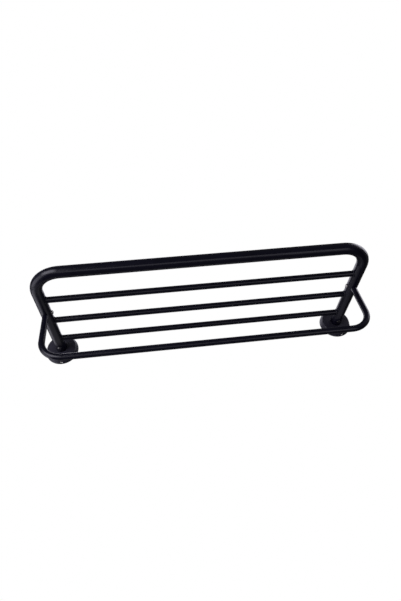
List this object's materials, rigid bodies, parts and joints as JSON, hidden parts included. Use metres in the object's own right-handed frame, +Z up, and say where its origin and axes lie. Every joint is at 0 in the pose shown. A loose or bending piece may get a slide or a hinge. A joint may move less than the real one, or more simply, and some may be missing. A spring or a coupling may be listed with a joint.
{
  "type": "wall luggage rack",
  "caption": "Wall-mounted luggage and towel rack: a bent tube shelf frame with slim cross bars, a towel rail hung below it, and round sliding covers over its wall plates.",
  "frame": {"origin": "on the wall, midway between the two wall covers, level with the shelf", "axes": "+X along the wall to the right as seen from the room, +Y into the wall, +Z up"},
  "size_m": [0.678, 0.267, 0.1509],
  "materials": {
    "powder_coat": "satin black powder coat over steel tube, very fine texture",
    "screw_steel": "bare stainless steel, turned, with a driven socket or cross",
    "zinc_plate": "bright zinc plated steel, hidden behind the covers and inside the tubes"
  },
  "bodies": {
    "rack": {"main_rail": "powder_coat", "towel_rail": "powder_coat", "shelf_bar_1": "powder_coat", "shelf_bar_2": "powder_coat", "shelf_bar_3": "powder_coat", "wall_plate_left": "zinc_plate", "post_left": "zinc_plate", "post_screw_left": "zinc_plate", "leg_grub_screw_left": "screw_steel", "rail_screw_left": "screw_steel", "rail_plug_left": "zinc_plate", "wall_plate_right": "zinc_plate", "post_right": "zinc_plate", "post_screw_right": "zinc_plate", "leg_grub_screw_right": "screw_steel", "rail_screw_right": "screw_steel", "rail_plug_right": "zinc_plate"},
    "left_cover": {"cover_left": "powder_coat", "cover_grub_screw_left": "screw_steel"},
    "right_cover": {"cover_right": "powder_coat", "cover_grub_screw_right": "screw_steel"}
  },
  "joints": [
    {"name": "left_cover_slide", "type": "slide", "parent": "rack", "child": "left_cover", "axis": [0, -1, 0], "range_m": [0, 0.028]},
    {"name": "right_cover_slide", "type": "slide", "parent": "rack", "child": "right_cover", "axis": [0, -1, 0], "range_m": [0, 0.028]}
  ]
}
